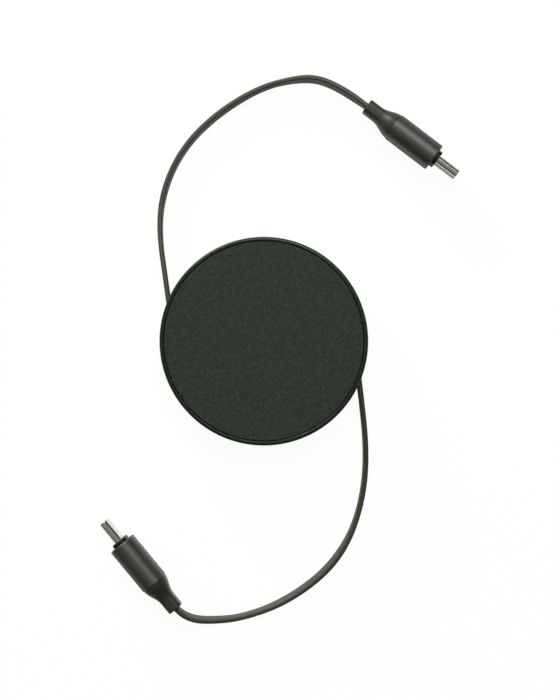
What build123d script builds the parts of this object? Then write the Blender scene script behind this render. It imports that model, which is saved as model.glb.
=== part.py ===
from build123d import *
import math
import os

# A retractable charging cable: one flat cable wound from its middle on a spring-driven spool, in a
# round two-shell housing. Both ends come out on opposite sides, each with a reversible charging plug.
# The origin is the centre of the housing's underside and +Z is up. The upper end of the cable lies
# towards +Y and the lower end towards -Y, as seen from above.

# Flat cable, wound and drawn out on its narrow edge
RIBBON_WIDTH = 4.2
RIBBON_THICKNESS = 1.3

# Housing: two moulded shells
HOUSING_DIAMETER = 56.5
HOUSING_WALL = 1.5
FLOOR_THICKNESS = 1.6
ROOF_THICKNESS = 1.6
HOUSING_EDGE = 0.5
POST_DIAMETER = 6.4
PAD_RIM = 1.8
PAD_HEIGHT = 0.3
SLOT_CLEARANCE = 0.25

# Textured disc glued into the recess of the top shell
RIM_WIDTH = 1.15
RIM_PROUD = 0.2
INLAY_THICKNESS = 0.8
INLAY_GROOVE = 0.25

# Countersunk centre screw, through the roof into the post
SCREW_DIAMETER = 2.0
SCREW_LENGTH = 7.0
SCREW_HEAD_RIM = 0.9
SCREW_CLEARANCE = 0.1
PILOT_CLEARANCE = 0.02
DRIVE_WIDTH = 0.5
DRIVE_SPAN = 2.2
DRIVE_DEPTH = 0.6

# Spool, and the plate that closes the spring chamber and is its lower flange
END_PLAY = 0.1
HUB_CLEARANCE = 0.05
PLATE_THICKNESS = 1.0
FLANGE_CLEARANCE = 0.45
CHANNEL_CLEARANCE = 0.2
DRUM_DIAMETER = 30.0
DRUM_WALL = 1.2
WEB_THICKNESS = 2.0
ROOF_GAP = 0.3

# Turns on the drum, with this much room left round them for the two strands that leave
COIL_SEAT = 0.05
COIL_MARGIN = 3.25
COIL_CLEARANCE = 0.3

# Flat spiral mainspring, hooked on the post and on the drum
SPRING_THICKNESS = 0.35
SPRING_TURNS = 2
SPRING_CLEARANCE = 0.25
SPRING_HOOK = 0.6
HOOK_CLEARANCE = 0.1

# Ratchet: a ball between a radial slot in the roof and two ring tracks round islands on the spool
BALL_DIAMETER = 1.5
BALL_CLEARANCE = 0.2
BALL_FLOAT = 0.05
BALL_ANGLE = 60.0
OUTER_TRACK_DIAMETER = 26.4
TRACK_DEPTH = 1.0
ISLANDS = 4
ISLAND_WIDTH = 1.6
ISLAND_SPAN = 54.0
ISLAND_TIP = 14.0
POCKET_DEPTH = 0.5

# Reversible charging plug, from the cable to the tip; thick is across the flats, wide is along them
BOOT_LENGTH = 9.25
BOOT_POCKET = 3.3
POCKET_CLEARANCE = 0.25
NECK_THICK = 4.1
NECK_WIDE = 7.2
NECK_BEVEL = 0.55
NECK_LENGTH = 3.6
FLARE_SETBACK = 0.2
FLARE_BEVEL = 2.2
FLARE_STEPS = 6
BARREL_LENGTH = 13.95
BARREL_WALL_THICK = 1.525
BARREL_WALL_WIDE = 0.95
BARREL_FLAT = 0.4
BARREL_EDGE = 0.6
COLLAR_LENGTH = 1.05
COLLAR_SEAT = 3.0
COLLAR_WALL_THICK = 0.975
COLLAR_WALL_WIDE = 0.725
COLLAR_FLAT = 0.95
MOULDING_CLEARANCE = 0.02
SHELL_LENGTH = 6.65
SHELL_THICK = 2.4
SHELL_WIDE = 8.25
SHELL_WALL = 0.25
MOUTH_SETBACK = 0.4
TONGUE_THICK = 1.0
TONGUE_SIDE = 0.725
TONGUE_DEPTH = 5.4
CONTACT_WIDTH = 0.28
CONTACT_HEIGHT = 0.12
CONTACT_LENGTH = 4.4
CONTACT_SETBACK = 0.4
CONTACT_MARGIN = 0.65
CONTACT_PLACES = (-5.5, -2.5, -1.5, -0.5, 0.5, 1.5, 2.5, 5.5)
BOARD_THICKNESS = 0.8
BOARD_MARGIN = 0.85
BOARD_LENGTH = 7.0
BOARD_CLEARANCE = 0.5

# Cable ends: where each boot's mouth lies, which way its plug points, and the points of the cable
# between the housing and that boot, chosen from the way it lies on the table
EXIT_ANGLE = 97.4
EXIT_RUN = 17.0
MOUTH_RUN = 0.7
ENDS = {
    "upper": {
        "turn": 0.0,
        "mouth": (28.06, 64.19),
        "points_to": -37.3,
        "route": [
            (-28.9, 31.5, 3.2),
            (-27.0, 43.8, 2.2),
            (-21.2, 54.3, 2.15),
            (-11.9, 63.1, 2.15),
            (-0.8, 69.8, 2.4),
            (8.2, 72.1, 3.3),
            (14.4, 71.8, 4.5),
            (20.4, 69.1, 5.4),
        ],
    },
    "lower": {
        "turn": 180.0,
        "mouth": (-24.08, -73.1),
        "points_to": 129.6,
        "route": [
            (28.2, -30.8, 3.2),
            (27.0, -43.8, 2.2),
            (23.1, -55.2, 2.15),
            (16.2, -64.2, 2.15),
            (5.3, -71.9, 2.4),
            (-6.0, -76.1, 3.5),
            (-14.4, -76.6, 4.8),
            (-19.8, -75.9, 5.5),
        ],
    },
}
# Share of the shorter run that a bend of the cable takes up
BEND_SHARE = 0.45

# Radii that follow from the sizes above
housing_radius = HOUSING_DIAMETER / 2
cavity_radius = housing_radius - HOUSING_WALL
recess_radius = housing_radius - RIM_WIDTH
post_radius = POST_DIAMETER / 2
pad_radius = post_radius + PAD_RIM
screw_radius = SCREW_DIAMETER / 2
head_radius = screw_radius + SCREW_HEAD_RIM
bore_radius = post_radius + HUB_CLEARANCE
flange_radius = cavity_radius - FLANGE_CLEARANCE
drum_radius = DRUM_DIAMETER / 2
chamber_radius = drum_radius - DRUM_WALL
coil_radius = cavity_radius - COIL_MARGIN
exit_radius = coil_radius + COIL_CLEARANCE + RIBBON_THICKNESS / 2
ball_radius = BALL_DIAMETER / 2
track_half = ball_radius + BALL_CLEARANCE
outer_track = OUTER_TRACK_DIAMETER / 2
inner_track = outer_track - 2 * track_half - ISLAND_WIDTH

# Heights that follow, from the floor of the housing up
pad_top = FLOOR_THICKNESS + PAD_HEIGHT
plate_bottom = pad_top + END_PLAY
channel_bottom = plate_bottom + PLATE_THICKNESS
cable_height = channel_bottom + CHANNEL_CLEARANCE + RIBBON_WIDTH / 2
channel_top = cable_height + RIBBON_WIDTH / 2 + CHANNEL_CLEARANCE
spring_bottom = channel_bottom + CHANNEL_CLEARANCE
spring_top = channel_top - CHANNEL_CLEARANCE
spool_top = channel_top + WEB_THICKNESS
track_floor = spool_top - TRACK_DEPTH
ball_bottom = track_floor + BALL_FLOAT
roof_bottom = spool_top + ROOF_GAP
recess_floor = roof_bottom + ROOF_THICKNESS
inlay_top = recess_floor + INLAY_THICKNESS
housing_top = inlay_top + RIM_PROUD
screw_top = recess_floor - SCREW_CLEARANCE
screw_tip = screw_top - SCREW_LENGTH

# Sections of the plug that follow, from the metal shell outwards
collar_thick = SHELL_THICK + 2 * COLLAR_WALL_THICK
collar_wide = SHELL_WIDE + 2 * COLLAR_WALL_WIDE
collar_corner = (collar_thick - COLLAR_FLAT) / 2
barrel_thick = collar_thick + 2 * BARREL_WALL_THICK
barrel_wide = collar_wide + 2 * BARREL_WALL_WIDE
barrel_corner = (barrel_thick - BARREL_FLAT) / 2
flare_thick = barrel_thick - 2 * FLARE_SETBACK
flare_wide = barrel_wide - 2 * FLARE_SETBACK
tongue_wide = SHELL_WIDE - 2 * TONGUE_SIDE
plug_height = barrel_wide / 2

# Places along the plug that follow, from the mouth of its boot
barrel_front = BOOT_LENGTH + BARREL_LENGTH
collar_front = barrel_front + COLLAR_LENGTH
collar_back = barrel_front - COLLAR_SEAT
shell_tip = collar_front + SHELL_LENGTH
insulator_tip = shell_tip - MOUTH_SETBACK


def polar(radius, degrees):
    """A point in plan, from its distance to the axis and its bearing."""
    return (radius * math.cos(math.radians(degrees)), radius * math.sin(math.radians(degrees)))


def turned(corners):
    """A solid of revolution about the Z axis from the (radius, height) corners of its section."""
    outline = Polyline([(radius, 0, height) for radius, height in corners], close=True)
    return revolve(make_face(outline), Axis.Z)


def disc(radius, bottom, top):
    """An upright cylinder on the Z axis."""
    return Pos(0, 0, bottom) * Cylinder(radius, top - bottom, align=(Align.CENTER, Align.CENTER, Align.MIN))


def ring(inner, outer, bottom, top):
    """A flat ring on the Z axis."""
    return disc(outer, bottom, top) - disc(inner, bottom, top)


def edges_at(solid, height):
    """The edges that lie in the level plane at a height."""
    return solid.edges().filter_by_position(Axis.Z, height, height)


# Housing


def exit_slot(turn):
    """The slanted opening in the wall through which one end of the cable leaves, level with the channel."""
    tall = RIBBON_WIDTH + 2 * SLOT_CLEARANCE
    thick = RIBBON_THICKNESS + 2 * SLOT_CLEARANCE
    long = math.sqrt(housing_radius**2 - coil_radius**2) + HOUSING_WALL
    start = polar(exit_radius, EXIT_ANGLE + 90)
    cutter = Box(long, thick, tall, align=(Align.MIN, Align.CENTER, Align.CENTER))
    return Rot(0, 0, turn) * Pos(start[0], start[1], cable_height) * Rot(0, 0, EXIT_ANGLE) * cutter


def bottom_shell():
    """Cup with a raised pad, and the slotted post that carries the spool and the spring's inner end."""
    pilot_floor = screw_tip - SCREW_CLEARANCE
    pilot_radius = screw_radius + PILOT_CLEARANCE
    shell = turned(
        [
            (0, 0),
            (housing_radius, 0),
            (housing_radius, cable_height),
            (cavity_radius, cable_height),
            (cavity_radius, FLOOR_THICKNESS),
            (pad_radius, FLOOR_THICKNESS),
            (pad_radius, pad_top),
            (post_radius, pad_top),
            (post_radius, roof_bottom),
            (pilot_radius, roof_bottom),
            (pilot_radius, pilot_floor),
            (0, pilot_floor),
        ]
    )
    shell = chamfer(edges_at(shell, 0), HOUSING_EDGE)
    depth = SPRING_HOOK + HOOK_CLEARANCE
    gap = SPRING_THICKNESS + 2 * HOOK_CLEARANCE
    slit = Box(2 * depth, gap, roof_bottom - spring_bottom, align=(Align.CENTER, Align.MAX, Align.MIN))
    shell -= Pos(post_radius, HOOK_CLEARANCE, spring_bottom) * slit
    for end in ENDS.values():
        shell -= exit_slot(end["turn"])
    return shell


def top_shell():
    """Cap with the rim, the inlay's recess, the screw's countersink and the slot that guides the ball."""
    hole_radius = screw_radius + SCREW_CLEARANCE
    shell = turned(
        [
            (cavity_radius, cable_height),
            (housing_radius, cable_height),
            (housing_radius, housing_top),
            (recess_radius, housing_top),
            (recess_radius, recess_floor),
            (head_radius + SCREW_CLEARANCE, recess_floor),
            (hole_radius, recess_floor - SCREW_HEAD_RIM),
            (hole_radius, roof_bottom),
            (cavity_radius, roof_bottom),
        ]
    )
    rim = edges_at(shell, housing_top).sort_by(SortBy.RADIUS)[-1]
    shell = chamfer(rim, HOUSING_EDGE)
    guide_top = ball_bottom + BALL_DIAMETER + BALL_CLEARANCE
    guide = extrude(SlotCenterToCenter(outer_track - inner_track, 2 * track_half), guide_top - roof_bottom)
    middle = polar((outer_track + inner_track) / 2, BALL_ANGLE)
    shell -= Pos(middle[0], middle[1], roof_bottom) * Rot(0, 0, BALL_ANGLE) * guide
    for end in ENDS.values():
        shell -= exit_slot(end["turn"])
    return shell


def centre_screw():
    """Countersunk screw with a cross drive; its thread is left plain."""
    screw = turned(
        [
            (0, screw_tip),
            (screw_radius, screw_tip),
            (screw_radius, screw_top - SCREW_HEAD_RIM),
            (head_radius, screw_top),
            (0, screw_top),
        ]
    )
    for bearing in (0, 90):
        cut = Box(DRIVE_SPAN, DRIVE_WIDTH, 2 * DRIVE_DEPTH)
        screw -= Pos(0, 0, screw_top) * Rot(0, 0, bearing) * cut
    return screw


# Spool and spring


def island(bearing):
    """Plan of a guide between the tracks: a point that parts them, and a hollow end that stops the ball."""
    inner = inner_track + track_half
    outer = outer_track - track_half
    middle = (inner + outer) / 2
    end = bearing + ISLAND_SPAN
    shoulder = bearing + ISLAND_TIP
    halfway = (shoulder + end) / 2
    hollow = end - math.degrees(POCKET_DEPTH / middle)
    return make_face(
        [
            ThreePointArc(polar(outer, shoulder), polar(outer, halfway), polar(outer, end)),
            ThreePointArc(polar(outer, end), polar(middle, hollow), polar(inner, end)),
            ThreePointArc(polar(inner, end), polar(inner, halfway), polar(inner, shoulder)),
            Line(polar(inner, shoulder), polar(middle, bearing)),
            Line(polar(middle, bearing), polar(outer, shoulder)),
        ]
    )


def spool():
    """Drum with the spring chamber inside it, and the upper flange with the ratchet track sunk in its top."""
    body = turned(
        [
            (bore_radius, channel_top),
            (chamber_radius, channel_top),
            (chamber_radius, channel_bottom),
            (drum_radius, channel_bottom),
            (drum_radius, channel_top),
            (flange_radius, channel_top),
            (flange_radius, spool_top),
            (bore_radius, spool_top),
        ]
    )
    track = Circle(outer_track + track_half) - Circle(inner_track - track_half)
    pitch = 360 / ISLANDS
    gate = (pitch - ISLAND_SPAN) / 2
    for number in range(ISLANDS):
        track -= island(BALL_ANGLE + gate + number * pitch)
    body -= Pos(0, 0, track_floor) * extrude(track, TRACK_DEPTH)
    depth = SPRING_HOOK + HOOK_CLEARANCE
    gap = SPRING_THICKNESS + 2 * HOOK_CLEARANCE
    notch = Box(2 * depth, gap, channel_top - channel_bottom, align=(Align.CENTER, Align.MIN, Align.MIN))
    return body - Pos(chamber_radius, -HOOK_CLEARANCE, channel_bottom) * notch


def mainspring():
    """Flat strip wound in half circles about two centres, with a hook at each end."""
    half = SPRING_THICKNESS / 2
    first = post_radius + SPRING_CLEARANCE + half
    last = chamber_radius - SPRING_CLEARANCE - half
    step = (last - first) / (2 * SPRING_TURNS)
    inner_hook = post_radius - SPRING_HOOK
    outer_hook = chamber_radius + SPRING_HOOK
    strip = [
        Polyline(
            (first + half, 0),
            (first + half, -SPRING_THICKNESS),
            (inner_hook, -SPRING_THICKNESS),
            (inner_hook, 0),
            (first - half, 0),
        ),
        Polyline(
            (last - half, 0),
            (last - half, SPRING_THICKNESS),
            (outer_hook, SPRING_THICKNESS),
            (outer_hook, 0),
            (last + half, 0),
        ),
    ]
    for number in range(2 * SPRING_TURNS):
        radius = first + number * step
        odd = number % 2
        for side in (-half, half):
            strip.append(Pos(odd * step, 0) * CenterArc((0, 0), radius + side, 180 * odd, 180))
    return Pos(0, 0, spring_bottom) * extrude(make_face(strip), spring_top - spring_bottom)


# Charging plug, along +X from the mouth of its boot


def block(length, thick, wide, corner, start):
    """A bar along X with a rounded section."""
    return extrude(Plane.YZ.offset(start) * RectangleRounded(thick, wide, corner), length)


def oval(length, thick, wide, start):
    """A bar along X with a full-round section."""
    return extrude(Plane.YZ.offset(start) * SlotOverall(wide, thick, rotation=90), length)


def boot_section(place, swell):
    """Bevelled section of the boot at a place on its axis, between the neck (0) and the barrel (1)."""
    thick = NECK_THICK + swell * (flare_thick - NECK_THICK)
    wide = NECK_WIDE + swell * (flare_wide - NECK_WIDE)
    bevel = NECK_BEVEL + swell * (FLARE_BEVEL - NECK_BEVEL)
    return Plane.YZ.offset(place) * chamfer(Rectangle(thick, wide).vertices(), bevel)


def boot():
    """Strain relief that swells in an S-curve from a straight bevelled neck to nearly the barrel's oval."""
    sections = [boot_section(0, 0)]
    for step in range(FLARE_STEPS + 1):
        along = step / FLARE_STEPS
        swell = along**2 * (3 - 2 * along)
        sections.append(boot_section(NECK_LENGTH + along * (BOOT_LENGTH - NECK_LENGTH), swell))
    thick = RIBBON_THICKNESS + 2 * POCKET_CLEARANCE
    wide = RIBBON_WIDTH + 2 * POCKET_CLEARANCE
    pocket = Box(BOOT_POCKET, thick, wide, align=(Align.MIN, Align.CENTER, Align.CENTER))
    return loft(sections, ruled=True) - pocket


def barrel():
    """Oval sleeve, hollow from the front for the inner moulding and the board."""
    sleeve = block(BARREL_LENGTH, barrel_thick, barrel_wide, barrel_corner, BOOT_LENGTH)
    front = sleeve.edges().filter_by_position(Axis.X, barrel_front, barrel_front)
    sleeve = chamfer(front, BARREL_EDGE)
    thick = collar_thick + 2 * MOULDING_CLEARANCE
    wide = collar_wide + 2 * MOULDING_CLEARANCE
    deep = COLLAR_SEAT + BOARD_LENGTH + BOARD_CLEARANCE
    return sleeve - block(deep, thick, wide, collar_corner, barrel_front - deep)


def collar():
    """Front of the inner moulding, round the metal shell."""
    long = COLLAR_SEAT + COLLAR_LENGTH
    thick = SHELL_THICK + 2 * MOULDING_CLEARANCE
    wide = SHELL_WIDE + 2 * MOULDING_CLEARANCE
    moulding = block(long, collar_thick, collar_wide, collar_corner, collar_back)
    return moulding - oval(long, thick, wide, collar_back)


def plug_shell():
    """Seamless oval metal tube."""
    long = shell_tip - collar_back
    bore = oval(long, SHELL_THICK - 2 * SHELL_WALL, SHELL_WIDE - 2 * SHELL_WALL, collar_back)
    return oval(long, SHELL_THICK, SHELL_WIDE, collar_back) - bore


def insulator():
    """Moulded lining of the shell, open for the tongue of the socket."""
    spare = SHELL_WALL + MOULDING_CLEARANCE
    lining = oval(insulator_tip - collar_back, SHELL_THICK - 2 * spare, SHELL_WIDE - 2 * spare, collar_back)
    tongue = Box(TONGUE_DEPTH, TONGUE_THICK, tongue_wide, align=(Align.MAX, Align.CENTER, Align.CENTER))
    return lining - Pos(insulator_tip, 0, 0) * tongue


def contacts():
    """Spring strips along both flats of the tongue's space."""
    front = insulator_tip - CONTACT_SETBACK
    pitch = (tongue_wide / 2 - CONTACT_MARGIN) / max(CONTACT_PLACES)
    from_front = (Align.MAX, Align.CENTER, Align.CENTER)
    strips = []
    for side in (-1, 1):
        offset = side * (TONGUE_THICK - CONTACT_HEIGHT) / 2
        for place in CONTACT_PLACES:
            strip = Box(CONTACT_LENGTH, CONTACT_HEIGHT, CONTACT_WIDTH, align=from_front)
            strips.append(Pos(front, offset, place * pitch) * strip)
    return Compound(children=strips)


def paddle_card():
    """Circuit board that joins the cable's cores to the contacts."""
    wide = collar_wide - 2 * BOARD_MARGIN
    board = Box(BOARD_LENGTH, BOARD_THICKNESS, wide, align=(Align.MAX, Align.CENTER, Align.CENTER))
    return Pos(collar_back, 0, 0) * board


PLUG_PIECES = {
    "boot": boot,
    "barrel": barrel,
    "collar": collar,
    "plug_shell": plug_shell,
    "insulator": insulator,
    "contacts": contacts,
    "paddle_card": paddle_card,
}


# Free ends of the cable


def cable_points(end):
    """The corners of one free end, from the turns on the drum to the bottom of the boot's pocket."""
    bearing = EXIT_ANGLE + end["turn"]
    start = Vector(*polar(exit_radius, bearing + 90), cable_height)
    out = Vector(*polar(EXIT_RUN, bearing))
    mouth = Vector(*end["mouth"], plug_height)
    along = Vector(*polar(1, end["points_to"]))
    route = [Vector(*point) for point in end["route"]]
    return [start, start + out, *route, mouth - along * MOUTH_RUN, mouth + along * BOOT_POCKET]


def bend_radii(points):
    """For each corner, the largest bend that its shorter run leaves room for."""
    radii = []
    for before, corner, after in zip(points, points[1:], points[2:]):
        arriving = corner - before
        leaving = after - corner
        half_turn = math.radians(arriving.get_angle(leaving)) / 2
        radii.append(BEND_SHARE * min(arriving.length, leaving.length) / math.tan(half_turn))
    return radii


def cable(end):
    """Flat cable that stays on its narrow edge all along its route."""
    points = cable_points(end)
    radii = bend_radii(points)
    print("bend radii", [round(radius, 1) for radius in radii])
    path = FilletPolyline(*points, radius=radii)
    upright = Pos(0, 0, RIBBON_WIDTH) * path
    facing = Plane(points[0], x_dir=(0, 0, 1), z_dir=points[1] - points[0])
    section = facing * Rectangle(RIBBON_WIDTH, RIBBON_THICKNESS)
    ribbon = sweep(section, path=path, binormal=Wire(upright.edges()))
    expected = RIBBON_WIDTH * RIBBON_THICKNESS * path.length
    print("cable length", round(path.length, 1), "volume share", round(ribbon.volume / expected, 4))
    return ribbon


pieces = {
    "bottom_shell": bottom_shell(),
    "top_shell": top_shell(),
    "top_inlay": disc(recess_radius - INLAY_GROOVE, recess_floor, inlay_top),
    "centre_screw": centre_screw(),
    "spool": spool(),
    "spool_plate": ring(bore_radius, flange_radius, plate_bottom, channel_bottom),
    "mainspring": mainspring(),
    "wound_cable": ring(
        drum_radius + COIL_SEAT,
        coil_radius,
        cable_height - RIBBON_WIDTH / 2,
        cable_height + RIBBON_WIDTH / 2,
    ),
    "ratchet_ball": Pos(*polar(outer_track, BALL_ANGLE), ball_bottom + ball_radius) * Sphere(ball_radius),
}
for name, end in ENDS.items():
    pieces[f"{name}_cable"] = cable(end)
    place = Pos(*end["mouth"], plug_height) * Rot(0, 0, end["points_to"])
    for piece, make in PLUG_PIECES.items():
        pieces[f"{name}_{piece}"] = place * make()

os.makedirs("parts", exist_ok=True)
for name, solid in pieces.items():
    export_step(solid, f"parts/{name}.step")
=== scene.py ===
import math

import bmesh
import bpy
from mathutils import Matrix, Vector


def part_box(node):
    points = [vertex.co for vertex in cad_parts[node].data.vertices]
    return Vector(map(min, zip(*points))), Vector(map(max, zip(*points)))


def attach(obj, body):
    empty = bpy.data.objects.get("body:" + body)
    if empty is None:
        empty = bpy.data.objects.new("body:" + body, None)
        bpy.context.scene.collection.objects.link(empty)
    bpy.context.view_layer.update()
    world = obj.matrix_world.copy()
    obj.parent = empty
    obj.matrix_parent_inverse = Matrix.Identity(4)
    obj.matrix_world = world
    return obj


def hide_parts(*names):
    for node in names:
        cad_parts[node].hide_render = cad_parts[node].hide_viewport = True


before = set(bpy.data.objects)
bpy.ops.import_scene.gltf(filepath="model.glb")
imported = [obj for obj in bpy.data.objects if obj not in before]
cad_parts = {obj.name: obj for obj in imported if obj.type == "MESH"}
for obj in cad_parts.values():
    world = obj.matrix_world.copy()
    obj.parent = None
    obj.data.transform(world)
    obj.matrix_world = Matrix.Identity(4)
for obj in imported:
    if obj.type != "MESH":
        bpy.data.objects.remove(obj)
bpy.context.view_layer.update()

# Bottom shell: a shallow round cup with the reel's post in its middle, injection moulded in satin
# green-black plastic. The spool turns on the post, and the centre screw is driven into the post's end.
MM = 0.001
seam_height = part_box("top_shell")[0].z
housing_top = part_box("top_shell")[1].z
housing_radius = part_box("top_shell")[1].x
post_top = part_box("bottom_shell")[1].z
CAVITY_RADIUS = 26.75 * MM
FLOOR_THICKNESS = 1.6 * MM
PAD_RADIUS = 5.0 * MM
PAD_TOP = 1.9 * MM
POST_RADIUS = 3.2 * MM
PILOT_RADIUS = 1.02 * MM
PILOT_FLOOR = 4.3 * MM
HOUSING_ROUND = 0.6 * MM
SEAM_ROUND = 0.14 * MM
INSIDE_ROUND = 0.3 * MM
ROUND_STEPS = 6
LATHE_STEPS = 224
SMOOTH_ANGLE = math.radians(32)
MERGE_DISTANCE = 0.0005 * MM
SAME_PLACE = 0.001 * MM
EXIT_RADIUS = 24.45 * MM
EXIT_BEARING = math.radians(97.4)
SLOT_SIZE = (17.2 * MM, 1.8 * MM, 4.7 * MM)
SLOT_ROUND = 0.4 * MM
SPRING_SLIT_SIZE = (1.4 * MM, 0.55 * MM, 6.7 * MM)
SPRING_SLIT_CENTRE = (3.2 * MM, -0.175 * MM, 6.55 * MM)
SPRING_SLIT_ROUND = 0.05 * MM
ALONG_X, ALONG_Z = 0, 2
HOUSING_DARK = (0.0045, 0.0095, 0.0030, 1)
HOUSING_PALE = (0.0080, 0.0145, 0.0060, 1)


class Tap:
    """An output socket in a finish. Sums on it add Math nodes, and node() adds any other node."""

    def __init__(self, tree, socket=None):
        self.tree = tree
        self.socket = socket

    def feed(self, socket, value):
        """Links a tap to an input socket, or sets a plain value on it."""
        if isinstance(value, Tap):
            self.tree.links.new(value.socket, socket)
        else:
            socket.default_value = value

    def node(self, kind, inputs=None, output=0, **settings):
        """Adds a node: its settings come first, then its inputs by name or number, and gives an output."""
        made = self.tree.nodes.new(kind)
        for name, value in settings.items():
            setattr(made, name, value)
        for name, value in (inputs or {}).items():
            if isinstance(name, int):
                self.feed(made.inputs[name], value)
            else:
                self.feed(next(s for s in made.inputs if s.enabled and s.name == name), value)
        if isinstance(output, str):
            return Tap(self.tree, made.outputs[output])
        return Tap(self.tree, [s for s in made.outputs if s.enabled][output])

    def __add__(self, other):
        return self.node("ShaderNodeMath", {0: self, 1: other}, operation="ADD")

    def __radd__(self, other):
        return self + other

    def __sub__(self, other):
        return self.node("ShaderNodeMath", {0: self, 1: other}, operation="SUBTRACT")

    def __rsub__(self, other):
        return self.node("ShaderNodeMath", {0: other, 1: self}, operation="SUBTRACT")

    def __mul__(self, other):
        return self.node("ShaderNodeMath", {0: self, 1: other}, operation="MULTIPLY")

    def __rmul__(self, other):
        return self * other


def finish(name, dress):
    """A material whose one shader takes the inputs that dress() works out on its nodes."""
    material = bpy.data.materials.new(name)
    material.use_nodes = True
    shader = material.node_tree.nodes["Principled BSDF"]
    tap = Tap(material.node_tree)
    for socket_name, value in dress(tap).items():
        tap.feed(shader.inputs[socket_name], value)
    return material


def noise(tap, place, scale, detail, roughness=0.5):
    """Soft random grain; its scale is the number of grains in a metre."""
    inputs = {"Vector": place, "Scale": scale, "Detail": detail, "Roughness": roughness}
    return tap.node("ShaderNodeTexNoise", inputs)


def blend_colours(tap, share, first, second):
    """The first colour where the share is 0, the second where it is 1."""
    return tap.node("ShaderNodeMix", {"Factor": share, "A": first, "B": second}, data_type="RGBA")


def relief(tap, height, depth):
    """A surface normal for fine relief; the depth is in metres."""
    return tap.node("ShaderNodeBump", {"Height": height, "Distance": depth})


def object_place(tap):
    """Where a point of the finish lies on its piece, in metres."""
    return tap.node("ShaderNodeTexCoord", output="Object")


def housing_plastic(tap):
    """Satin moulded plastic with the fine pitted grain of an etched mould."""
    place = object_place(tap)
    pits = noise(tap, place, scale=5200, detail=2)
    cloud = noise(tap, place, scale=160, detail=3)
    return {
        "Base Color": blend_colours(tap, cloud, HOUSING_DARK, HOUSING_PALE),
        "Roughness": 0.28 + 0.06 * cloud + 0.05 * pits,
        "Specular IOR Level": 0.27,
        "Normal": relief(tap, pits, depth=0.006 * MM),
    }


def pick(piece, kind, test):
    """Selects in edit mode only the corners or the edges of a piece that pass a test."""
    bpy.ops.mesh.select_mode(type=kind)
    bpy.ops.mesh.select_all(action="DESELECT")
    mesh = bmesh.from_edit_mesh(piece.data)
    for item in mesh.verts if kind == "VERT" else mesh.edges:
        if test(item):
            item.select_set(True)
    mesh.select_flush_mode()
    bmesh.update_edit_mesh(piece.data)


def at(*places):
    """A test for pick(): does a corner lie at one of the places?"""
    return lambda point: min((point.co - place).length for place in places) < SAME_PLACE


def smooth_rounds(piece):
    """Shades the rounds of the active piece smooth, and keeps the long walls beside them true."""
    bpy.ops.object.shade_smooth_by_angle(angle=SMOOTH_ANGLE)
    true_walls = piece.modifiers.new("true_walls", "WEIGHTED_NORMAL")
    true_walls.keep_sharp = True
    bpy.ops.object.modifier_apply(modifier=true_walls.name)


def close_up(piece, material):
    """Leaves edit mode with merged corners, outward faces, smooth rounds and a finish."""
    bpy.ops.mesh.select_all(action="SELECT")
    bpy.ops.mesh.remove_doubles(threshold=MERGE_DISTANCE)
    bpy.ops.mesh.normals_make_consistent(inside=False)
    bpy.ops.object.mode_set(mode="OBJECT")
    smooth_rounds(piece)
    piece.data.materials.append(material)


def turned(name, corners, material, ring=False):
    """A round piece: its half section is drawn corner by corner as (radius, height, round), and spun.

    A ring doesn't reach the axis, so its section is closed first.
    """
    bpy.ops.object.select_all(action="DESELECT")
    bpy.ops.mesh.primitive_plane_add(size=MM)
    piece = bpy.context.object
    piece.name = name
    bpy.ops.object.mode_set(mode="EDIT")
    bpy.ops.mesh.select_mode(type="VERT")
    bpy.ops.mesh.select_all(action="SELECT")
    bpy.ops.mesh.merge(type="CENTER")
    bpy.ops.transform.translate(value=(corners[0][0], 0, corners[0][1]))
    for before, after in zip(corners, corners[1:]):
        step = (after[0] - before[0], 0, after[1] - before[1])
        bpy.ops.mesh.extrude_region_move(TRANSFORM_OT_translate={"value": step})
    if ring:
        ends = [Vector((radius, 0, height)) for radius, height, _ in (corners[0], corners[-1])]
        pick(piece, "VERT", at(*ends))
        bpy.ops.mesh.edge_face_add()
    for radius, height, rounding in corners:
        if rounding:
            pick(piece, "VERT", at(Vector((radius, 0, height))))
            bpy.ops.mesh.bevel(offset=rounding, segments=ROUND_STEPS, affect="VERTICES")
    bpy.ops.mesh.select_all(action="SELECT")
    bpy.ops.mesh.spin(steps=LATHE_STEPS, angle=2 * math.pi, center=(0, 0, 0), axis=(0, 0, 1))
    close_up(piece, material)
    return piece


def core(size, centre, bearing, axis, rounding):
    """A bar that stands for a core of the mould; its edges along one axis are rounded."""
    bpy.ops.object.select_all(action="DESELECT")
    bpy.ops.mesh.primitive_cube_add(size=1)
    bar = bpy.context.object
    bpy.ops.object.mode_set(mode="EDIT")
    bpy.ops.transform.resize(value=size, center_override=(0, 0, 0))
    half = size[axis] / 2
    pick(bar, "EDGE", lambda edge: abs(edge.verts[0].co[axis] - edge.verts[1].co[axis]) > half)
    bpy.ops.mesh.bevel(offset=rounding, segments=ROUND_STEPS, affect="EDGES")
    bpy.ops.object.mode_set(mode="OBJECT")
    bar.matrix_world = Matrix.Translation(centre) @ Matrix.Rotation(bearing, 4, "Z")
    return bar


def choose(piece):
    """Makes a piece the only one that is selected, and the active one."""
    bpy.ops.object.select_all(action="DESELECT")
    piece.select_set(True)
    bpy.context.view_layer.objects.active = piece


def cut(piece, bar):
    """Takes a core's shape out of a piece."""
    difference = piece.modifiers.new("core", "BOOLEAN")
    difference.operation = "DIFFERENCE"
    difference.object = bar
    choose(piece)
    bpy.ops.object.modifier_apply(modifier=difference.name)
    bpy.data.objects.remove(bar)
    smooth_rounds(piece)


def exit_line(bearing):
    """Where the cable leaves its turns for the slot at a bearing, and which way it runs from there."""
    out = Vector((math.cos(bearing), math.sin(bearing), 0))
    start = Vector((-out.y, out.x, 0)) * EXIT_RADIUS + Vector((0, 0, seam_height))
    return start, out


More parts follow.
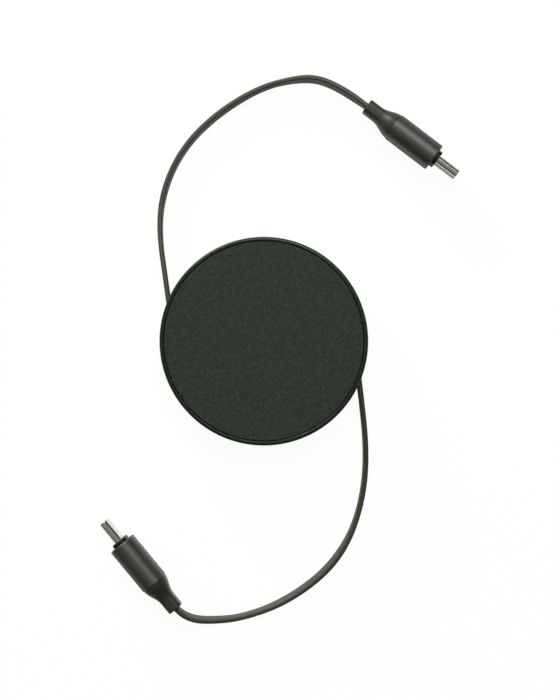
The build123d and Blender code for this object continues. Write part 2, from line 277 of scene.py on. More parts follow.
def exit_slots(shell):
    """Cuts the two slanted slots through which the cable's ends leave, half of each in either shell."""
    for bearing in (EXIT_BEARING, EXIT_BEARING + math.pi):
        start, out = exit_line(bearing)
        centre = start + out * SLOT_SIZE[ALONG_X] / 2
        cut(shell, core(SLOT_SIZE, centre, bearing, ALONG_X, SLOT_ROUND))


satin_housing = finish("satin_green_black_plastic", housing_plastic)
bottom_cup = turned(
    "bottom_cup",
    [
        (0, 0, 0),
        (housing_radius, 0, HOUSING_ROUND),
        (housing_radius, seam_height, SEAM_ROUND),
        (CAVITY_RADIUS, seam_height, 0),
        (CAVITY_RADIUS, FLOOR_THICKNESS, INSIDE_ROUND),
        (PAD_RADIUS, FLOOR_THICKNESS, 0),
        (PAD_RADIUS, PAD_TOP, 0),
        (POST_RADIUS, PAD_TOP, 0),
        (POST_RADIUS, post_top, INSIDE_ROUND),
        (PILOT_RADIUS, post_top, 0),
        (PILOT_RADIUS, PILOT_FLOOR, 0),
        (0, PILOT_FLOOR, 0),
    ],
    satin_housing,
)
cut(bottom_cup, core(SPRING_SLIT_SIZE, SPRING_SLIT_CENTRE, 0, ALONG_Z, SPRING_SLIT_ROUND))
exit_slots(bottom_cup)
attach(bottom_cup, "housing")
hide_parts("bottom_shell")

# Reel: the drum with its ratchet flange and the plate that closes its spring chamber, moulded in natural
# plastic. The flat steel spring and the steel ball go in before the steel screw closes the housing.
REEL_DARK = (0.50, 0.50, 0.47, 1)
REEL_PALE = (0.64, 0.64, 0.61, 1)
STEEL_DARK = (0.42, 0.42, 0.43, 1)
STEEL_PALE = (0.62, 0.62, 0.63, 1)


def reel_plastic(tap):
    """Natural, slippery moulded plastic with faint flow marks."""
    place = object_place(tap)
    flow = noise(tap, place, scale=220, detail=4)
    fine = noise(tap, place, scale=4000, detail=2)
    return {
        "Base Color": blend_colours(tap, flow, REEL_DARK, REEL_PALE),
        "Roughness": 0.38 + 0.12 * flow,
        "Normal": relief(tap, fine, depth=0.006 * MM),
    }


def plain_steel(tap):
    """Rolled or turned steel, with fine uneven gloss."""
    scratches = noise(tap, object_place(tap), scale=2600, detail=5, roughness=0.7)
    return {
        "Base Color": blend_colours(tap, scratches, STEEL_DARK, STEEL_PALE),
        "Metallic": 1.0,
        "Roughness": 0.22 + 0.20 * scratches,
        "Normal": relief(tap, scratches, depth=0.003 * MM),
    }


def dress_nodes(names, material):
    """Gives a finish to CAD nodes whose solids stay as they are."""
    for name in names:
        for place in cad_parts[name].material_slots:
            place.material = material


dress_nodes(["spool", "spool_plate"], finish("natural_reel_plastic", reel_plastic))
dress_nodes(["mainspring", "ratchet_ball", "centre_screw"], finish("plain_steel", plain_steel))

# Top shell: the cap of the housing, moulded in the same plastic as the cup. Its rim stands round a
# shallow recess, with a countersunk hole for the centre screw and, underneath, the ball's guide slot.
inlay_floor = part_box("top_inlay")[0].z
RECESS_RADIUS = 27.1 * MM
COUNTERSINK_RADIUS = 2.0 * MM
COUNTERSINK_DEPTH = 0.9 * MM
SCREW_HOLE_RADIUS = 1.1 * MM
ROOF_BOTTOM = 9.9 * MM
RIM_INNER_ROUND = 0.24 * MM
GUIDE_SIZE = (5.4 * MM, 1.9 * MM, 0.9 * MM)
GUIDE_RADIUS = 11.45 * MM
GUIDE_BEARING = math.radians(60)
GUIDE_ROUND = 0.945 * MM

top_cap = turned(
    "top_cap",
    [
        (CAVITY_RADIUS, seam_height, 0),
        (housing_radius, seam_height, SEAM_ROUND),
        (housing_radius, housing_top, HOUSING_ROUND),
        (RECESS_RADIUS, housing_top, RIM_INNER_ROUND),
        (RECESS_RADIUS, inlay_floor, 0),
        (COUNTERSINK_RADIUS, inlay_floor, 0),
        (SCREW_HOLE_RADIUS, inlay_floor - COUNTERSINK_DEPTH, 0),
        (SCREW_HOLE_RADIUS, ROOF_BOTTOM, 0),
        (CAVITY_RADIUS, ROOF_BOTTOM, INSIDE_ROUND),
    ],
    satin_housing,
    ring=True,
)
guide_centre = (
    GUIDE_RADIUS * math.cos(GUIDE_BEARING),
    GUIDE_RADIUS * math.sin(GUIDE_BEARING),
    ROOF_BOTTOM,
)
cut(top_cap, core(GUIDE_SIZE, guide_centre, GUIDE_BEARING, ALONG_Z, GUIDE_ROUND))
exit_slots(top_cap)
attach(top_cap, "housing")
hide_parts("top_shell")

# Inlay: a thin disc of dark green plastic with a fine speckled grain, glued into the recess over the
# screw. A narrow groove is left round it, and it lies a little below the rim.
INLAY_STEP = 0.08 * MM
GROOVE = 0.07 * MM
INLAY_ROUND = 0.30 * MM
INLAY_DARK = (0.0092, 0.0166, 0.0087, 1)
INLAY_PALE = (0.0312, 0.0474, 0.0290, 1)
inlay_top = housing_top - INLAY_STEP
inlay_radius = RECESS_RADIUS - GROOVE


def ramp(tap, value, start, end):
    """0 below the start, 1 above the end and a soft step between them."""
    inputs = {"Value": value, "From Min": start, "From Max": end}
    return tap.node("ShaderNodeMapRange", inputs, interpolation_type="SMOOTHSTEP")


def grained_plastic(tap):
    """Matt green plastic: pale specks and short worms of grain, raised above a darker ground."""
    place = object_place(tap)
    fine = noise(tap, place, scale=2900, detail=3, roughness=0.62)
    coarse = noise(tap, place, scale=900, detail=2)
    specks = ramp(tap, 0.75 * fine + 0.25 * coarse, start=0.46, end=0.64)
    return {
        "Base Color": blend_colours(tap, specks, INLAY_DARK, INLAY_PALE),
        "Roughness": 0.66 - 0.10 * specks,
        "Specular IOR Level": 0.25,
        "Normal": relief(tap, specks, depth=0.03 * MM),
    }


grained_disc = turned(
    "grained_disc",
    [
        (0, inlay_floor, 0),
        (inlay_radius, inlay_floor, 0),
        (inlay_radius, inlay_top, INLAY_ROUND),
        (0, inlay_top, 0),
    ],
    finish("grained_green_plastic", grained_plastic),
)
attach(grained_disc, "housing")
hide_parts("top_inlay")

# Cable: one flat cable in a matt rubbery jacket, wound from its middle on the drum. Its two ends leave
# the housing on opposite sides on their narrow edge, sink to the table and rise again into the boots.
CABLE_WIDTH = 4.2 * MM
CABLE_THICKNESS = 1.3 * MM
CABLE_ROUND = 0.44 * MM
CABLE_CORNER_STEPS = 6
CURVE_STEPS = 24
EXIT_RUN = 17.0 * MM
MOUTH_RUN = 0.7 * MM
POCKET_DEPTH = 3.3 * MM
plug_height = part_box("upper_barrel")[1].z / 2
CABLE_DARK = (0.0320, 0.0335, 0.0220, 1)
CABLE_PALE = (0.0460, 0.0475, 0.0345, 1)

# An end's mouth is the middle of its boot's back face, from where the plug points away. The route has the
# cable's control points from slot to boot, and the leans are pairs of (share of its length, degrees).
ENDS = {
    "upper": {
        "exit_bearing": EXIT_BEARING,
        "mouth": (0.02806, 0.06419),
        "points_to": math.radians(-37.3),
        "length": 0.1195,
        "route": [
            (-0.0291, 0.0316, 0.0032),
            (-0.0270, 0.0438, 0.0022),
            (-0.0213, 0.0544, 0.00215),
            (-0.0120, 0.0632, 0.00215),
            (-0.0008, 0.0698, 0.0024),
            (0.0083, 0.0719, 0.0033),
            (0.0145, 0.0719, 0.0045),
            (0.0205, 0.0693, 0.0054),
        ],
        "leans": [
            (0, 0),
            (0.22, 0),
            (0.4, -6),
            (0.6, -7.5),
            (0.75, -4),
            (0.83, -11.5),
            (0.92, -11),
            (1, -2),
        ],
    },
    "lower": {
        "exit_bearing": EXIT_BEARING + math.pi,
        "mouth": (-0.02408, -0.0731),
        "points_to": math.radians(129.6),
        "length": 0.1182,
        "route": [
            (0.0282, -0.0308, 0.0032),
            (0.0270, -0.0438, 0.0022),
            (0.0231, -0.0552, 0.00215),
            (0.0162, -0.0642, 0.00215),
            (0.0053, -0.0718, 0.0024),
            (-0.0060, -0.0758, 0.0035),
            (-0.0144, -0.0764, 0.0048),
            (-0.0198, -0.0759, 0.0055),
        ],
        "leans": [
            (0, 0),
            (0.12, -3),
            (0.42, -4.5),
            (0.57, -12.5),
            (0.68, -11),
            (0.8, -6),
            (0.92, -9.5),
            (1, -2),
        ],
    },
}


def cable_jacket(tap):
    """Matt extruded jacket: fine streaks along the cable and a faint uneven tone."""
    place = tap.node("ShaderNodeAttribute", output="Vector", attribute_name="cable_place")
    drawn = tap.node("ShaderNodeMapping", {"Vector": place, "Scale": (0.12, 1.0, 1.0)})
    streaks = noise(tap, drawn, scale=4200, detail=3)
    cloud = noise(tap, place, scale=140, detail=2)
    return {
        "Base Color": blend_colours(tap, 0.6 * cloud + 0.4 * streaks, CABLE_DARK, CABLE_PALE),
        "Roughness": 0.42 + 0.10 * streaks,
        "Specular IOR Level": 0.3,
        "Normal": relief(tap, streaks, depth=0.004 * MM),
    }


def cable_route(end):
    """The cable's control points, from the turns on the drum to the bottom of the boot's pocket."""
    start, out = exit_line(end["exit_bearing"])
    along = Vector((math.cos(end["points_to"]), math.sin(end["points_to"]), 0))
    mouth = Vector((*end["mouth"], plug_height))
    loose = [Vector(point) for point in end["route"]]
    into_boot = [mouth - along * MOUTH_RUN, mouth + along * POCKET_DEPTH]
    return [start, start + out * EXIT_RUN, *loose, *into_boot]


def smooth_line(name, route):
    """The points of the smooth curve that has the route as its control points."""
    curve = bpy.data.curves.new(name, "CURVE")
    curve.dimensions = "3D"
    curve.resolution_u = CURVE_STEPS
    spline = curve.splines.new("NURBS")
    spline.points.add(len(route) - 1)
    for point, place in zip(spline.points, route):
        point.co = (*place, 1)
    spline.order_u = 3
    spline.use_endpoint_u = True
    holder = bpy.data.objects.new(name, curve)
    bpy.context.scene.collection.objects.link(holder)
    line = bpy.data.meshes.new_from_object(holder)
    points = [vertex.co.copy() for vertex in line.vertices]
    bpy.data.objects.remove(holder)
    bpy.data.meshes.remove(line)
    return points


def cable_section():
    """Outline of the flat cable: (across, up) points of a bar with rounded edges."""
    outline = []
    for quarter in range(4):
        side = 1 if quarter in (0, 3) else -1
        rise = 1 if quarter in (0, 1) else -1
        across = side * (CABLE_THICKNESS / 2 - CABLE_ROUND)
        up = rise * (CABLE_WIDTH / 2 - CABLE_ROUND)
        for step in range(CABLE_CORNER_STEPS + 1):
            angle = (quarter + step / CABLE_CORNER_STEPS) * math.pi / 2
            outline.append((across + CABLE_ROUND * math.cos(angle), up + CABLE_ROUND * math.sin(angle)))
    return outline


def eased(share):
    """A share from 0 to 1 that starts and ends softly."""
    return share * share * (3 - 2 * share)


def lean_at(leans, share):
    """How far the cable leans over, in radians, at a share of its length."""
    for (before, first), (after, second) in zip(leans, leans[1:]):
        if share <= after:
            part = (share - before) / (after - before)
            return math.radians(first + (second - first) * eased(part))
    return math.radians(leans[-1][1])


def flat_cable(name, points, leans, material):
    """The cable's surface round its line: one section at each point, upright but for its lean."""
    outline = cable_section()
    travelled = [0.0]
    for before, after in zip(points, points[1:]):
        travelled.append(travelled[-1] + (after - before).length)
    mesh = bmesh.new()
    places = []
    rings = []
    for number, point in enumerate(points):
        along = (points[min(number + 1, len(points) - 1)] - points[max(number - 1, 0)]).normalized()
        lean = Matrix.Rotation(lean_at(leans, travelled[number] / travelled[-1]), 3, along)
        across = lean @ along.cross(Vector((0, 0, 1))).normalized()
        up = across.cross(along)
        rings.append([mesh.verts.new(point + across * x + up * y) for x, y in outline])
        places.extend((travelled[number], x, y) for x, y in outline)
    for before, after in zip(rings, rings[1:]):
        for number in range(len(outline)):
            ahead = (number + 1) % len(outline)
            mesh.faces.new((before[number], before[ahead], after[ahead], after[number]))
    mesh.faces.new(rings[0])
    mesh.faces.new(rings[-1])
    bmesh.ops.recalc_face_normals(mesh, faces=mesh.faces)
    data = bpy.data.meshes.new(name)
    mesh.to_mesh(data)
    mesh.free()
    attribute = data.attributes.new("cable_place", "FLOAT_VECTOR", "POINT")
    attribute.data.foreach_set("vector", [value for place in places for value in place])
    cable = bpy.data.objects.new(name, data)
    bpy.context.scene.collection.objects.link(cable)
    choose(cable)
    bpy.ops.object.shade_smooth_by_angle(angle=SMOOTH_ANGLE)
    data.materials.append(material)
    return cable


matt_jacket = finish("matt_cable_jacket", cable_jacket)
dress_nodes(["wound_cable"], matt_jacket)
cable_lines = {}
for end_name, end in ENDS.items():
    cable_lines[end_name] = smooth_line(f"{end_name}_line", cable_route(end))
    cable = flat_cable(f"{end_name}_flat_cable", cable_lines[end_name], end["leans"], matt_jacket)
    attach(cable, "housing")
    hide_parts(f"{end_name}_cable")

# Boots: the strain relief of each plug, moulded on the cable in soft dark plastic. A straight neck with
# softened edges swells in an S-curve to nearly the barrel's oval, and the cable enters a pocket in it.
NECK_THICK = 4.1 * MM
NECK_WIDE = 7.2 * MM
NECK_ROUNDNESS = 0.72
NECK_LENGTH = 3.6 * MM
NECK_ROUND = 0.28 * MM
BOOT_LENGTH = 9.25 * MM
FLARE_THICK = 7.0 * MM
FLARE_WIDE = 11.2 * MM
FLARE_ROUNDNESS = 0.95
FLARE_RINGS = 18
POCKET = (1.8 * MM, 4.7 * MM, 0.3 * MM)  # (thick, wide, corner), like every section of a plug
CORNER_STEPS = 9
END_STEPS = 4
BOOT_DARK = (0.0215, 0.0235, 0.0165, 1)
BOOT_PALE = (0.0300, 0.0325, 0.0240, 1)


def plug_place(tap):
    """Where a point of the finish lies on its plug, in metres."""
    return tap.node("ShaderNodeAttribute", output="Vector", attribute_name="plug_place")


def boot_plastic(tap):
    """Soft moulded plastic: a dry, slightly mottled surface."""
    place = plug_place(tap)
    fine = noise(tap, place, scale=5200, detail=2)
    cloud = noise(tap, place, scale=320, detail=3)
    return {
        "Base Color": blend_colours(tap, cloud, BOOT_DARK, BOOT_PALE),
        "Roughness": 0.34 + 0.06 * cloud + 0.05 * fine,
        "Specular IOR Level": 0.25,
        "Normal": relief(tap, fine, depth=0.004 * MM),
    }


def softened_end(place, inward, section, rounding):
    """Rings of an end with rounded edges, from its face at a place to the full section further inward."""
    thick, wide, corner = section
    rings = []
    for step in range(END_STEPS + 1):
        angle = math.pi / 2 * step / END_STEPS
        inset = rounding * (1 - math.sin(angle))
        depth = inward * rounding * (1 - math.cos(angle))
        rings.append((place + depth, thick - 2 * inset, wide - 2 * inset, corner - inset))
    return rings


def lofted(name, rings, material, tube=False):
    """A piece along the plug's axis: rounded (place, thick, wide, corner) rings are drawn and bridged.

    A tube's last ring is joined to its first, and any other piece is capped at both ends.
    """
    bpy.ops.object.select_all(action="DESELECT")
    bpy.ops.object.add(type="MESH")
    piece = bpy.context.object
    piece.name = name
    bpy.ops.object.mode_set(mode="EDIT")
    layer_name = "ring"
    bmesh.from_edit_mesh(piece.data).verts.layers.int.new(layer_name)
    for number, (place, thick, wide, corner) in enumerate(rings):
        bpy.ops.mesh.select_all(action="DESELECT")
        bpy.ops.mesh.primitive_plane_add(size=1, location=(place, 0, 0), rotation=(0, math.pi / 2, 0))
        bpy.ops.transform.resize(value=(1, thick, wide), center_override=(place, 0, 0))
        bpy.ops.mesh.bevel(offset=corner, segments=CORNER_STEPS, affect="VERTICES", clamp_overlap=False)
        mesh = bmesh.from_edit_mesh(piece.data)
        layer = mesh.verts.layers.int[layer_name]
        for point in mesh.verts:
            if point.select:
                point[layer] = number
    bpy.ops.mesh.select_all(action="SELECT")
    bpy.ops.mesh.delete(type="ONLY_FACE")
    last = len(rings) - 1
    pairs = [(number, number + 1) for number in range(last)]
    caps = [0, last]
    if tube:
        pairs.append((last, 0))
        caps = []
    for pair in pairs:
        layer = bmesh.from_edit_mesh(piece.data).verts.layers.int[layer_name]
        pick(piece, "VERT", lambda point: point[layer] in pair)
        bpy.ops.mesh.bridge_edge_loops()
    for number in caps:
        layer = bmesh.from_edit_mesh(piece.data).verts.layers.int[layer_name]
        pick(piece, "VERT", lambda point: point[layer] == number)
        bpy.ops.mesh.edge_face_add()
    close_up(piece, material)
    piece.data.attributes.remove(piece.data.attributes[layer_name])
    return piece


on_cable = {end_name: [] for end_name in ENDS}


def fit_to_ends(piece, node):
    """Puts a copy of a plug's piece on each end of the cable, with places for its grain kept on it."""
    attribute = piece.data.attributes.new("plug_place", "FLOAT_VECTOR", "POINT")
    attribute.data.foreach_set("vector", [value for vertex in piece.data.vertices for value in vertex.co])
    for end_name, end in ENDS.items():
        copy = piece.copy()
        copy.data = piece.data.copy()
        copy.name = f"{end_name}_{piece.name}"
        bpy.context.scene.collection.objects.link(copy)
        turn = Matrix.Rotation(end["points_to"], 4, "Z")
        copy.data.transform(Matrix.Translation((*end["mouth"], plug_height)) @ turn)
        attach(copy, "housing")
        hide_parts(f"{end_name}_{node}")
        on_cable[end_name].append(copy)
    bpy.data.objects.remove(piece)


boot_rings = [(POCKET_DEPTH, *POCKET), (0, *POCKET)]
neck_corner = NECK_ROUNDNESS * NECK_THICK / 2
boot_rings += softened_end(0, 1, (NECK_THICK, NECK_WIDE, neck_corner), NECK_ROUND)
for step in range(FLARE_RINGS + 1):
    along = step / FLARE_RINGS
    place = NECK_LENGTH + along * (BOOT_LENGTH - NECK_LENGTH)
    thick = NECK_THICK + eased(along) * (FLARE_THICK - NECK_THICK)
    wide = NECK_WIDE + eased(along) * (FLARE_WIDE - NECK_WIDE)
    roundness = NECK_ROUNDNESS + (FLARE_ROUNDNESS - NECK_ROUNDNESS) * math.sin(along * math.pi / 2)
    boot_rings.append((place, thick, wide, thick / 2 * roundness))
flared_boot = lofted("flared_boot", boot_rings, finish("soft_boot_plastic", boot_plastic))
fit_to_ends(flared_boot, "boot")

# Barrels: the satin oval sleeve that the fingers hold, moulded in charcoal grey-green plastic. It is
# pushed over the inner moulding from behind and stands a little proud of the boot.
BARREL_LENGTH = 13.95 * MM
BARREL = (7.4 * MM, 11.6 * MM, 3.5 * MM)
BARREL_FRONT_ROUND = 0.38 * MM
BARREL_BACK_ROUND = 0.12 * MM
BARREL_BORE = (4.39 * MM, 9.74 * MM, 1.7 * MM)
BARREL_BORE_DEPTH = 10.5 * MM
BARREL_DARK = (0.0090, 0.0122, 0.0062, 1)
BARREL_PALE = (0.0150, 0.0190, 0.0108, 1)
barrel_front = BOOT_LENGTH + BARREL_LENGTH


def barrel_plastic(tap):
    """Satin charcoal plastic with a fine even grain."""
    place = plug_place(tap)
    fine = noise(tap, place, scale=4600, detail=2)
    cloud = noise(tap, place, scale=260, detail=3)
    return {
        "Base Color": blend_colours(tap, cloud, BARREL_DARK, BARREL_PALE),
        "Roughness": 0.43 + 0.05 * cloud + 0.05 * fine,
        "Specular IOR Level": 0.88,
        "Normal": relief(tap, fine, depth=0.006 * MM),
    }


barrel_rings = [(barrel_front - BARREL_BORE_DEPTH, *BARREL_BORE), (barrel_front, *BARREL_BORE)]
barrel_rings += softened_end(barrel_front, -1, BARREL, BARREL_FRONT_ROUND)
barrel_rings += reversed(softened_end(BOOT_LENGTH, 1, BARREL, BARREL_BACK_ROUND))
satin_barrel = lofted("satin_barrel", barrel_rings, finish("satin_barrel_plastic", barrel_plastic))
fit_to_ends(satin_barrel, "barrel")

# Collars: the black front of the inner moulding, which closes the barrel round the metal shell. The
# circuit board that joins the cable's cores to the contacts is moulded in behind it and doesn't show.
COLLAR_LENGTH = 1.05 * MM
COLLAR_SEAT = 3.0 * MM
COLLAR = (4.35 * MM, 9.7 * MM, 1.7 * MM)
COLLAR_BORE = (2.44 * MM, 8.29 * MM, 1.215 * MM)
COLLAR_ROUND = 0.15 * MM
COLLAR_DARK = (0.0025, 0.0025, 0.0024, 1)
COLLAR_PALE = (0.0050, 0.0050, 0.0048, 1)
BOARD_DARK = (0.012, 0.085, 0.030, 1)
BOARD_PALE = (0.030, 0.150, 0.060, 1)
collar_back = barrel_front - COLLAR_SEAT
collar_front = barrel_front + COLLAR_LENGTH


def collar_plastic(tap):
    """Hard black plastic, unevenly matt."""
    fine = noise(tap, plug_place(tap), scale=3800, detail=2)
    return {
        "Base Color": blend_colours(tap, fine, COLLAR_DARK, COLLAR_PALE),
        "Roughness": 0.36 + 0.14 * fine,
        "Specular IOR Level": 0.2,
        "Normal": relief(tap, fine, depth=0.006 * MM),
    }


def board_lacquer(tap):
    """Green lacquer over glass cloth, whose weave shows faintly."""
    weave = noise(tap, object_place(tap), scale=2400, detail=1)
    return {
        "Base Color": blend_colours(tap, weave, BOARD_DARK, BOARD_PALE),
        "Roughness": 0.30 + 0.15 * weave,
        "Normal": relief(tap, weave, depth=0.005 * MM),
    }


hard_black = finish("hard_black_plastic", collar_plastic)
collar_rings = [(collar_back, *COLLAR_BORE), (collar_back, *COLLAR)]
collar_rings += reversed(softened_end(collar_front, -1, COLLAR, COLLAR_ROUND))
collar_rings.append((collar_front, *COLLAR_BORE))
black_collar = lofted("black_collar", collar_rings, hard_black, tube=True)
fit_to_ends(black_collar, "collar")
dress_nodes([f"{end_name}_paddle_card" for end_name in ENDS], finish("board_lacquer", board_lacquer))

# Plug shells: a seamless oval tube, deep-drawn in steel and nickel plated, with a rolled front edge.
# It is pressed into the collar and is the only bare metal on the outside.
SHELL_LENGTH = 6.65 * MM
SHELL = (2.4 * MM, 8.25 * MM, 1.195 * MM)
SHELL_BORE = (1.9 * MM, 7.75 * MM, 0.945 * MM)
SHELL_ROUND = 0.2 * MM
NICKEL_DARK = (0.57, 0.56, 0.53, 1)
NICKEL_PALE = (0.72, 0.71, 0.68, 1)
shell_tip = collar_front + SHELL_LENGTH


def plug_nickel(tap):
    """Bright nickel plate over drawn steel: faint lengthwise draw marks under the gloss."""
    place = plug_place(tap)
    drawn = tap.node("ShaderNodeMapping", {"Vector": place, "Scale": (0.04, 1.0, 1.0)})
    marks = noise(tap, drawn, scale=5200, detail=4, roughness=0.6)
    cloud = noise(tap, place, scale=500, detail=2)
    return {
        "Base Color": blend_colours(tap, 0.5 * marks + 0.5 * cloud, NICKEL_DARK, NICKEL_PALE),
        "Metallic": 1.0,
        "Roughness": 0.10 + 0.02 * marks,
        "Normal": relief(tap, marks, depth=0.0003 * MM),
    }


shell_rings = [(collar_back, *SHELL_BORE), (collar_back, *SHELL)]
shell_rings += reversed(softened_end(shell_tip, -1, SHELL, SHELL_ROUND))
shell_rings.append((shell_tip - SHELL_ROUND / 2, *SHELL_BORE))
nickel_shell = lofted("nickel_shell", shell_rings, finish("bright_nickel", plug_nickel), tube=True)
fit_to_ends(nickel_shell, "plug_shell")

# Linings: the black insulator inside each metal shell, moulded in one piece with the open space that
# takes the tongue of a socket.
MOUTH_SETBACK = 0.4 * MM
LINING = (1.86 * MM, 7.71 * MM, 0.925 * MM)
LINING_ROUND = 0.08 * MM
TONGUE_SPACE = (1.0 * MM, 6.8 * MM, 0.2 * MM)
TONGUE_DEPTH = 5.4 * MM
lining_tip = shell_tip - MOUTH_SETBACK
lining_rings = [(lining_tip - TONGUE_DEPTH, *TONGUE_SPACE), (lining_tip, *TONGUE_SPACE)]
lining_rings += softened_end(lining_tip, -1, LINING, LINING_ROUND)
lining_rings.append((collar_back, *LINING))
mouth_lining = lofted("mouth_lining", lining_rings, hard_black)
fit_to_ends(mouth_lining, "insulator")

# Contacts: eight gold-plated spring strips along each flat of the tongue's space, stamped from thin
# sheet and bowed a little towards the middle.
CONTACT_WIDTH = 0.28 * MM
CONTACT_HEIGHT = 0.12 * MM
CONTACT_LENGTH = 4.4 * MM
CONTACT_SETBACK = 0.4 * MM
CONTACT_PITCH = 0.5 * MM
CONTACT_BOW = 0.10 * MM
CONTACT_STEPS = 8
CONTACT_EDGE = 0.02 * MM
CONTACT_EDGE_STEPS = 2
CONTACT_PLACES = (-5.5, -2.5, -1.5, -0.5, 0.5, 1.5, 2.5, 5.5)
GOLD_DARK = (0.66, 0.46, 0.16, 1)
GOLD_PALE = (0.82, 0.62, 0.27, 1)


def contact_gold(tap):
    """Thin gold plate, a little uneven."""
    wear = noise(tap, plug_place(tap), scale=2400, detail=3)
    return {
        "Base Color": blend_colours(tap, wear, GOLD_DARK, GOLD_PALE),
        "Metallic": 1.0,
        "Roughness": 0.20 + 0.16 * wear,
        "Normal": relief(tap, wear, depth=0.002 * MM),
    }


def contact_strip(side, height):
    """One strip: a small end face drawn out towards the mouth in steps that bow it inward."""
    back = lining_tip - CONTACT_SETBACK - CONTACT_LENGTH
    seat = side * (TONGUE_SPACE[0] - CONTACT_HEIGHT) / 2
    bpy.ops.object.select_all(action="DESELECT")
    bpy.ops.mesh.primitive_plane_add(size=1, rotation=(0, math.pi / 2, 0))
    strip = bpy.context.object
    bpy.ops.object.transform_apply(location=False, rotation=True, scale=False)
    bpy.ops.object.mode_set(mode="EDIT")
    bpy.ops.transform.resize(value=(1, CONTACT_HEIGHT, CONTACT_WIDTH), center_override=(0, 0, 0))
    bpy.ops.transform.translate(value=(back, seat, height))
    bowed = [CONTACT_BOW * math.sin(math.pi * step / CONTACT_STEPS) for step in range(CONTACT_STEPS + 1)]
    for before, after in zip(bowed, bowed[1:]):
        step = (CONTACT_LENGTH / CONTACT_STEPS, side * (before - after), 0)
        bpy.ops.mesh.extrude_region_move(TRANSFORM_OT_translate={"value": step})
    pick(strip, "EDGE", lambda edge: edge.calc_face_angle(0) > SMOOTH_ANGLE)
    bpy.ops.mesh.bevel(offset=CONTACT_EDGE, segments=CONTACT_EDGE_STEPS, affect="EDGES")
    bpy.ops.mesh.select_all(action="SELECT")
    bpy.ops.mesh.normals_make_consistent(inside=False)
    bpy.ops.object.mode_set(mode="OBJECT")
    return strip


strips = []
for side in (-1, 1):
    for place in CONTACT_PLACES:
        strips.append(contact_strip(side, place * CONTACT_PITCH))
bpy.ops.object.select_all(action="DESELECT")
for strip in strips:
    strip.select_set(True)
bpy.context.view_layer.objects.active = strips[0]
bpy.ops.object.join()
contact_strips = bpy.context.object
contact_strips.name = "contact_strips"
bpy.ops.object.shade_smooth_by_angle(angle=SMOOTH_ANGLE)
contact_strips.data.materials.append(finish("gold_contacts", contact_gold))
fit_to_ends(contact_strips, "contacts")

# Table: a plain white sheet that the part lies on. The camera sees it as nearly pure white with a trace
# of the part's soft shadow, and in reflections it is a little lifted.
TABLE_SIZE = 6.0
TABLE_DROP = 0.02 * MM
TABLE_WHITE = (0.90, 0.90, 0.90, 1)
PURE_WHITE = (1, 1, 1, 1)
TABLE_GLOW = 0.955
MIRROR_GLOW = 0.15

bpy.ops.object.select_all(action="DESELECT")
bpy.ops.mesh.primitive_plane_add(size=TABLE_SIZE, location=(0, 0, -TABLE_DROP))
table = bpy.context.object
table.name = "white_table"
sheet = bpy.data.materials.new("white_sheet")
sheet.use_nodes = True
tap = Tap(sheet.node_tree)
sheet_output = sheet.node_tree.nodes["Material Output"]
paper = tap.node("ShaderNodeBsdfDiffuse", {"Color": TABLE_WHITE})
glow = tap.node("ShaderNodeEmission", {"Color": PURE_WHITE, "Strength": 1.0})
seen = tap.node("ShaderNodeLightPath", output="Is Camera Ray")
mirrored = tap.node("ShaderNodeLightPath", output="Is Glossy Ray")
through = tap.node("ShaderNodeLightPath", output="Is Transmission Ray")
share = TABLE_GLOW * seen + MIRROR_GLOW * (mirrored + through)
tap.feed(sheet_output.inputs["Surface"], tap.node("ShaderNodeMixShader", {0: share, 1: paper, 2: glow}))
table.data.materials.append(sheet)

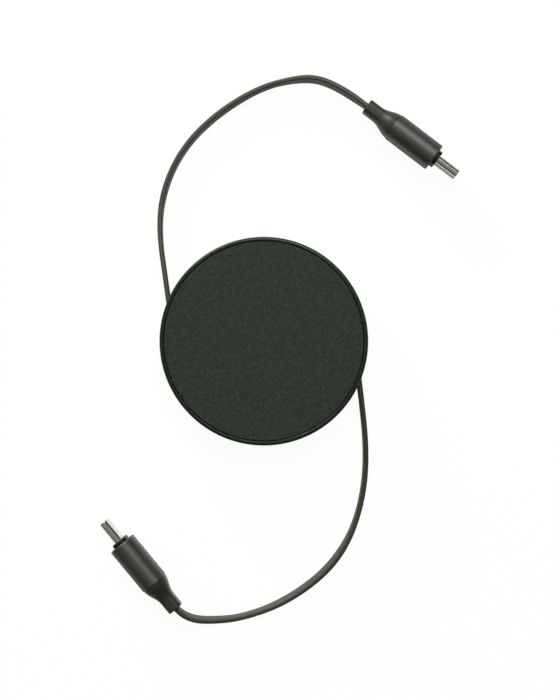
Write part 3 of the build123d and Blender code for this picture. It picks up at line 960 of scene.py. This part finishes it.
# Light: a soft box high over the far side and a little to the right, a low one at the far left that picks
# out the rim, and a room with a pale ceiling and dim walls.
CEILING_LIGHT = 0.28
WALL_LIGHT = 0.06
WALL_TOP, CEILING_EDGE = 0.25, 0.85
TOP_BOX = {"place": (0.22, 0.86, 1.80), "size": 0.40, "power": 20.5}
SIDE_BOX = {"place": (-0.50, 0.90, 0.38), "size": 0.42, "power": 13.0}


def soft_box(name, place, size, power):
    """A square area lamp turned to the part."""
    lamp = bpy.data.lights.new(name, "AREA")
    lamp.shape = "SQUARE"
    lamp.size = size
    lamp.energy = power
    box = bpy.data.objects.new(name, lamp)
    box.location = place
    box.rotation_euler = (-Vector(place)).to_track_quat("-Z", "Y").to_euler()
    box.visible_camera = False
    bpy.context.scene.collection.objects.link(box)


soft_box("top_box", **TOP_BOX)
soft_box("side_box", **SIDE_BOX)
room = bpy.data.worlds.new("pale_room")
room.use_nodes = True
bpy.context.scene.world = room
tap = Tap(room.node_tree)
room_output = room.node_tree.nodes["World Output"]
walls = tap.node("ShaderNodeBackground", {"Color": PURE_WHITE, "Strength": WALL_LIGHT})
ceiling = tap.node("ShaderNodeBackground", {"Color": PURE_WHITE, "Strength": CEILING_LIGHT})
backdrop = tap.node("ShaderNodeBackground", {"Color": PURE_WHITE, "Strength": 1.0})
direction = tap.node("ShaderNodeTexCoord", output="Generated")
rise = tap.node("ShaderNodeSeparateXYZ", {"Vector": direction}, output="Z")
overhead = ramp(tap, rise, WALL_TOP, CEILING_EDGE)
inside = tap.node("ShaderNodeMixShader", {0: overhead, 1: walls, 2: ceiling})
seen = tap.node("ShaderNodeLightPath", output="Is Camera Ray")
tap.feed(room_output.inputs["Surface"], tap.node("ShaderNodeMixShader", {0: seen, 1: inside, 2: backdrop}))

# Camera: straight down over the table, a few millimetres to the right of the housing's axis and nearer
# to the viewer, with the far side of the table at the top of the picture.
CAMERA_PLACE = (4.37 * MM, -2.38 * MM, 0.6)
CAMERA_LENS = 111.8
SENSOR = 36.0
lens = bpy.data.cameras.new("overhead_camera")
lens.lens = CAMERA_LENS
lens.sensor_fit = "AUTO"
lens.sensor_width = SENSOR
camera = bpy.data.objects.new("overhead_camera", lens)
camera.location = CAMERA_PLACE
bpy.context.scene.collection.objects.link(camera)
bpy.context.scene.camera = camera
bpy.context.scene.view_settings.view_transform = "Standard"
